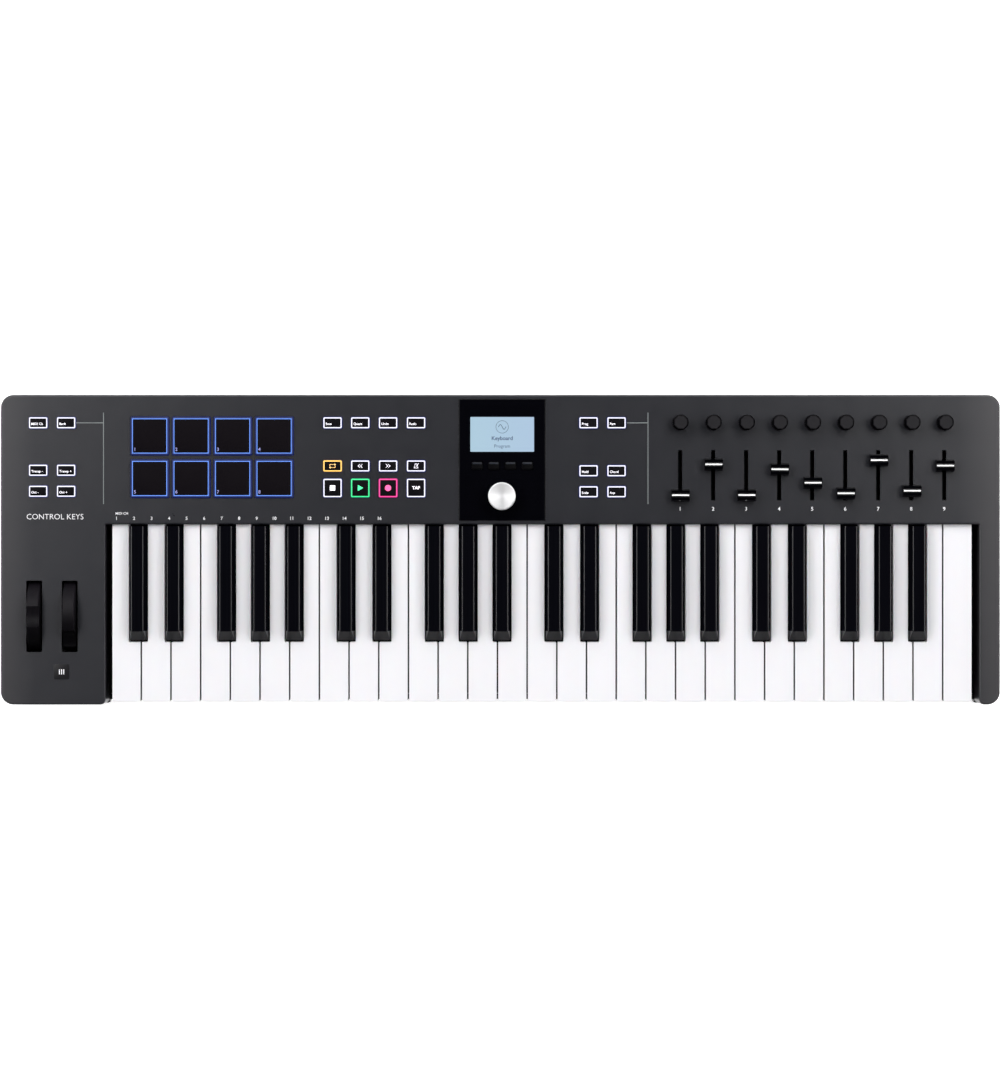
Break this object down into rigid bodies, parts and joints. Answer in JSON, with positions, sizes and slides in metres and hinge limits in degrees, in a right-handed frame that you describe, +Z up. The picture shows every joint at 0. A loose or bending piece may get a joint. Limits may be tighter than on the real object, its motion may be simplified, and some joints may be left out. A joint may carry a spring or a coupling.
{
  "type": "midi keyboard",
  "caption": "Desktop MIDI keyboard controller: black and white keys, pitch and modulation wheels, pads, knobs, faders, function buttons and a display block.",
  "frame": {"origin": "centre of the footprint on the table, at the underside of the feet", "axes": "+X to the player's right along the keyboard, +Y to the rear panel, +Z up"},
  "size_m": [0.79, 0.245, 0.066],
  "materials": {
    "casing_plastic": "fine matt texture",
    "bezel_gloss": "high gloss",
    "lcd_glass": "pale blue backlit screen",
    "board": "solder mask",
    "pot_metal": "plain plated",
    "socket_plastic": "satin",
    "chassis_plastic": "plain moulded",
    "contact_rubber": "matt",
    "spring_steel": "bright",
    "foot_rubber": "matt",
    "screw_steel": "black zinc",
    "white_key_plastic": "satin gloss",
    "black_key_plastic": "gloss",
    "wheel_rubber": "matt, soft touch",
    "fader_plastic": "gloss with white line",
    "knob_rubber": "matt",
    "shaft_steel": "turned",
    "knob_aluminium": "radially brushed",
    "pad_silicone": "matt top, lit edge",
    "button_silicone": "painted top, lit edge"
  },
  "bodies": {
    "casing": {"bottom_casing": "casing_plastic", "top_casing": "casing_plastic", "display_bezel": "bezel_gloss", "lcd_module": "lcd_glass", "circuit_boards": "board", "potentiometers": "pot_metal", "rotary_encoders": "pot_metal", "rear_sockets": "socket_plastic", "keybed_chassis": "chassis_plastic", "key_contact_strip": "contact_rubber", "return_springs": "spring_steel", "rubber_feet": "foot_rubber", "screws": "screw_steel"},
    "keys_c": {"keys_c": "white_key_plastic"},
    "keys_d": {"keys_d": "white_key_plastic"},
    "keys_e": {"keys_e": "white_key_plastic"},
    "keys_f": {"keys_f": "white_key_plastic"},
    "keys_g": {"keys_g": "white_key_plastic"},
    "keys_a": {"keys_a": "white_key_plastic"},
    "keys_b": {"keys_b": "white_key_plastic"},
    "keys_c_sharp": {"keys_c_sharp": "black_key_plastic"},
    "keys_d_sharp": {"keys_d_sharp": "black_key_plastic"},
    "keys_f_sharp": {"keys_f_sharp": "black_key_plastic"},
    "keys_g_sharp": {"keys_g_sharp": "black_key_plastic"},
    "keys_a_sharp": {"keys_a_sharp": "black_key_plastic"},
    "pitch_wheel": {"pitch_wheel": "wheel_rubber"},
    "modulation_wheel": {"modulation_wheel": "wheel_rubber"},
    "fader_cap_1": {"fader_cap_1": "fader_plastic"},
    "fader_cap_2": {"fader_cap_2": "fader_plastic"},
    "fader_cap_3": {"fader_cap_3": "fader_plastic"},
    "fader_cap_4": {"fader_cap_4": "fader_plastic"},
    "fader_cap_5": {"fader_cap_5": "fader_plastic"},
    "fader_cap_6": {"fader_cap_6": "fader_plastic"},
    "fader_cap_7": {"fader_cap_7": "fader_plastic"},
    "fader_cap_8": {"fader_cap_8": "fader_plastic"},
    "fader_cap_9": {"fader_cap_9": "fader_plastic"},
    "encoder_knob_1": {"encoder_knob_1": "knob_rubber"},
    "encoder_knob_2": {"encoder_knob_2": "knob_rubber"},
    "encoder_knob_3": {"encoder_knob_3": "knob_rubber"},
    "encoder_knob_4": {"encoder_knob_4": "knob_rubber"},
    "encoder_knob_5": {"encoder_knob_5": "knob_rubber"},
    "encoder_knob_6": {"encoder_knob_6": "knob_rubber"},
    "encoder_knob_7": {"encoder_knob_7": "knob_rubber"},
    "encoder_knob_8": {"encoder_knob_8": "knob_rubber"},
    "encoder_knob_9": {"encoder_knob_9": "knob_rubber"},
    "main_encoder_shaft": {"main_encoder_shaft": "shaft_steel"},
    "main_encoder_knob": {"main_encoder_knob": "knob_aluminium"},
    "pad_1": {"pad_1": "pad_silicone"},
    "pad_2": {"pad_2": "pad_silicone"},
    "pad_3": {"pad_3": "pad_silicone"},
    "pad_4": {"pad_4": "pad_silicone"},
    "pad_5": {"pad_5": "pad_silicone"},
    "pad_6": {"pad_6": "pad_silicone"},
    "pad_7": {"pad_7": "pad_silicone"},
    "pad_8": {"pad_8": "pad_silicone"},
    "left_buttons": {"left_buttons": "button_silicone"},
    "command_buttons": {"command_buttons": "button_silicone"},
    "transport_buttons": {"transport_buttons": "button_silicone"},
    "right_buttons": {"right_buttons": "button_silicone"},
    "screen_buttons": {"screen_buttons": "button_silicone"}
  },
  "joints": [
    {"name": "keys_c_press", "type": "hinge", "parent": "casing", "child": "keys_c", "pos_m": [0, 0.048, 0.028], "axis": [1, 0, 0], "range_deg": [0, 3.3], "stiffness_Nm_per_rad": 1.5, "springref_deg": -17.19},
    {"name": "keys_c_sharp_press", "type": "hinge", "parent": "casing", "child": "keys_c_sharp", "pos_m": [0, 0.048, 0.028], "axis": [1, 0, 0], "range_deg": [0, 3.3], "stiffness_Nm_per_rad": 1.5, "springref_deg": -17.19},
    {"name": "pitch_wheel_turn", "type": "hinge", "parent": "casing", "child": "pitch_wheel", "pos_m": [-0.3685, -0.0527, 0.0376], "axis": [-1, 0, 0], "range_deg": [-40, 40], "stiffness_Nm_per_rad": 0.15},
    {"name": "modulation_wheel_turn", "type": "hinge", "parent": "casing", "child": "modulation_wheel", "pos_m": [-0.3404, -0.0527, 0.0376], "axis": [-1, 0, 0], "range_deg": [0, 81]},
    {"name": "fader_cap_2_slide", "type": "slide", "parent": "casing", "child": "fader_cap_2", "axis": [0, 1, 0], "range_m": [-0.0244, 0.0076]},
    {"name": "encoder_knob_1_turn", "type": "hinge", "parent": "casing", "child": "encoder_knob_1", "pos_m": [0.1421, 0.1004, 0.052], "axis": [0, 0, 1], "continuous": true},
    {"name": "main_encoder_push", "type": "slide", "parent": "casing", "child": "main_encoder_shaft", "axis": [0, 0, -1], "range_m": [0, 0.0008], "stiffness_N_per_m": 2000, "springref_m": -0.001},
    {"name": "main_encoder_turn", "type": "hinge", "parent": "main_encoder_shaft", "child": "main_encoder_knob", "pos_m": [0.0012, 0.0422, 0.058], "axis": [0, 0, 1], "continuous": true},
    {"name": "pad_1_press", "type": "slide", "parent": "casing", "child": "pad_1", "axis": [0, 0, -1], "range_m": [0, 0.001], "stiffness_N_per_m": 2000, "springref_m": -0.001},
    {"name": "left_buttons_press", "type": "slide", "parent": "casing", "child": "left_buttons", "axis": [0, 0, -1], "range_m": [0, 0.0015], "stiffness_N_per_m": 400, "springref_m": -0.002},
    {"name": "command_buttons_press", "type": "slide", "parent": "casing", "child": "command_buttons", "axis": [0, 0, -1], "range_m": [0, 0.0015], "stiffness_N_per_m": 400, "springref_m": -0.002},
    {"name": "transport_buttons_press", "type": "slide", "parent": "casing", "child": "transport_buttons", "axis": [0, 0, -1], "range_m": [0, 0.0015], "stiffness_N_per_m": 400, "springref_m": -0.002},
    {"name": "right_buttons_press", "type": "slide", "parent": "casing", "child": "right_buttons", "axis": [0, 0, -1], "range_m": [0, 0.0015], "stiffness_N_per_m": 400, "springref_m": -0.002},
    {"name": "screen_buttons_press", "type": "slide", "parent": "casing", "child": "screen_buttons", "axis": [0, 0, -1], "range_m": [0, 0.0015], "stiffness_N_per_m": 400, "springref_m": -0.002},
    {"name": "keys_e_press", "type": "hinge", "parent": "casing", "child": "keys_e", "pos_m": [0, 0.048, 0.028], "axis": [1, 0, 0], "range_deg": [0, 3.3], "stiffness_Nm_per_rad": 1.5, "springref_deg": -17.19},
    {"name": "keys_g_sharp_press", "type": "hinge", "parent": "casing", "child": "keys_g_sharp", "pos_m": [0, 0.048, 0.028], "axis": [1, 0, 0], "range_deg": [0, 3.3], "stiffness_Nm_per_rad": 1.5, "springref_deg": -17.19},
    {"name": "fader_cap_1_slide", "type": "slide", "parent": "casing", "child": "fader_cap_1", "axis": [0, 1, 0], "range_m": [-0.0001, 0.0319]},
    {"name": "keys_d_press", "type": "hinge", "parent": "casing", "child": "keys_d", "pos_m": [0, 0.048, 0.028], "axis": [1, 0, 0], "range_deg": [0, 3.3], "stiffness_Nm_per_rad": 1.5, "springref_deg": -17.19},
    {"name": "keys_f_press", "type": "hinge", "parent": "casing", "child": "keys_f", "pos_m": [0, 0.048, 0.028], "axis": [1, 0, 0], "range_deg": [0, 3.3], "stiffness_Nm_per_rad": 1.5, "springref_deg": -17.19},
    {"name": "keys_g_press", "type": "hinge", "parent": "casing", "child": "keys_g", "pos_m": [0, 0.048, 0.028], "axis": [1, 0, 0], "range_deg": [0, 3.3], "stiffness_Nm_per_rad": 1.5, "springref_deg": -17.19},
    {"name": "keys_a_press", "type": "hinge", "parent": "casing", "child": "keys_a", "pos_m": [0, 0.048, 0.028], "axis": [1, 0, 0], "range_deg": [0, 3.3], "stiffness_Nm_per_rad": 1.5, "springref_deg": -17.19},
    {"name": "keys_b_press", "type": "hinge", "parent": "casing", "child": "keys_b", "pos_m": [0, 0.048, 0.028], "axis": [1, 0, 0], "range_deg": [0, 3.3], "stiffness_Nm_per_rad": 1.5, "springref_deg": -17.19},
    {"name": "keys_d_sharp_press", "type": "hinge", "parent": "casing", "child": "keys_d_sharp", "pos_m": [0, 0.048, 0.028], "axis": [1, 0, 0], "range_deg": [0, 3.3], "stiffness_Nm_per_rad": 1.5, "springref_deg": -17.19},
    {"name": "keys_f_sharp_press", "type": "hinge", "parent": "casing", "child": "keys_f_sharp", "pos_m": [0, 0.048, 0.028], "axis": [1, 0, 0], "range_deg": [0, 3.3], "stiffness_Nm_per_rad": 1.5, "springref_deg": -17.19},
    {"name": "keys_a_sharp_press", "type": "hinge", "parent": "casing", "child": "keys_a_sharp", "pos_m": [0, 0.048, 0.028], "axis": [1, 0, 0], "range_deg": [0, 3.3], "stiffness_Nm_per_rad": 1.5, "springref_deg": -17.19},
    {"name": "fader_cap_3_slide", "type": "slide", "parent": "casing", "child": "fader_cap_3", "axis": [0, 1, 0], "range_m": [-0.0002, 0.0318]},
    {"name": "fader_cap_4_slide", "type": "slide", "parent": "casing", "child": "fader_cap_4", "axis": [0, 1, 0], "range_m": [-0.0205, 0.0115]},
    {"name": "fader_cap_5_slide", "type": "slide", "parent": "casing", "child": "fader_cap_5", "axis": [0, 1, 0], "range_m": [-0.0099, 0.0221]},
    {"name": "fader_cap_6_slide", "type": "slide", "parent": "casing", "child": "fader_cap_6", "axis": [0, 1, 0], "range_m": [-0.0016, 0.0304]},
    {"name": "fader_cap_7_slide", "type": "slide", "parent": "casing", "child": "fader_cap_7", "axis": [0, 1, 0], "range_m": [-0.0277, 0.0043]},
    {"name": "fader_cap_8_slide", "type": "slide", "parent": "casing", "child": "fader_cap_8", "axis": [0, 1, 0], "range_m": [-0.0036, 0.0284]},
    {"name": "fader_cap_9_slide", "type": "slide", "parent": "casing", "child": "fader_cap_9", "axis": [0, 1, 0], "range_m": [-0.0234, 0.0086]},
    {"name": "encoder_knob_2_turn", "type": "hinge", "parent": "casing", "child": "encoder_knob_2", "pos_m": [0.16819, 0.1004, 0.052], "axis": [0, 0, 1], "continuous": true},
    {"name": "encoder_knob_3_turn", "type": "hinge", "parent": "casing", "child": "encoder_knob_3", "pos_m": [0.19428, 0.1004, 0.052], "axis": [0, 0, 1], "continuous": true},
    {"name": "encoder_knob_4_turn", "type": "hinge", "parent": "casing", "child": "encoder_knob_4", "pos_m": [0.22037, 0.1004, 0.052], "axis": [0, 0, 1], "continuous": true},
    {"name": "encoder_knob_5_turn", "type": "hinge", "parent": "casing", "child": "encoder_knob_5", "pos_m": [0.24646, 0.1004, 0.052], "axis": [0, 0, 1], "continuous": true},
    {"name": "encoder_knob_6_turn", "type": "hinge", "parent": "casing", "child": "encoder_knob_6", "pos_m": [0.27255, 0.1004, 0.052], "axis": [0, 0, 1], "continuous": true},
    {"name": "encoder_knob_7_turn", "type": "hinge", "parent": "casing", "child": "encoder_knob_7", "pos_m": [0.29864, 0.1004, 0.052], "axis": [0, 0, 1], "continuous": true},
    {"name": "encoder_knob_8_turn", "type": "hinge", "parent": "casing", "child": "encoder_knob_8", "pos_m": [0.32473, 0.1004, 0.052], "axis": [0, 0, 1], "continuous": true},
    {"name": "encoder_knob_9_turn", "type": "hinge", "parent": "casing", "child": "encoder_knob_9", "pos_m": [0.35082, 0.1004, 0.052], "axis": [0, 0, 1], "continuous": true},
    {"name": "pad_2_press", "type": "slide", "parent": "casing", "child": "pad_2", "axis": [0, 0, -1], "range_m": [0, 0.001], "stiffness_N_per_m": 2000, "springref_m": -0.001},
    {"name": "pad_3_press", "type": "slide", "parent": "casing", "child": "pad_3", "axis": [0, 0, -1], "range_m": [0, 0.001], "stiffness_N_per_m": 2000, "springref_m": -0.001},
    {"name": "pad_4_press", "type": "slide", "parent": "casing", "child": "pad_4", "axis": [0, 0, -1], "range_m": [0, 0.001], "stiffness_N_per_m": 2000, "springref_m": -0.001},
    {"name": "pad_5_press", "type": "slide", "parent": "casing", "child": "pad_5", "axis": [0, 0, -1], "range_m": [0, 0.001], "stiffness_N_per_m": 2000, "springref_m": -0.001},
    {"name": "pad_6_press", "type": "slide", "parent": "casing", "child": "pad_6", "axis": [0, 0, -1], "range_m": [0, 0.001], "stiffness_N_per_m": 2000, "springref_m": -0.001},
    {"name": "pad_7_press", "type": "slide", "parent": "casing", "child": "pad_7", "axis": [0, 0, -1], "range_m": [0, 0.001], "stiffness_N_per_m": 2000, "springref_m": -0.001},
    {"name": "pad_8_press", "type": "slide", "parent": "casing", "child": "pad_8", "axis": [0, 0, -1], "range_m": [0, 0.001], "stiffness_N_per_m": 2000, "springref_m": -0.001}
  ]
}
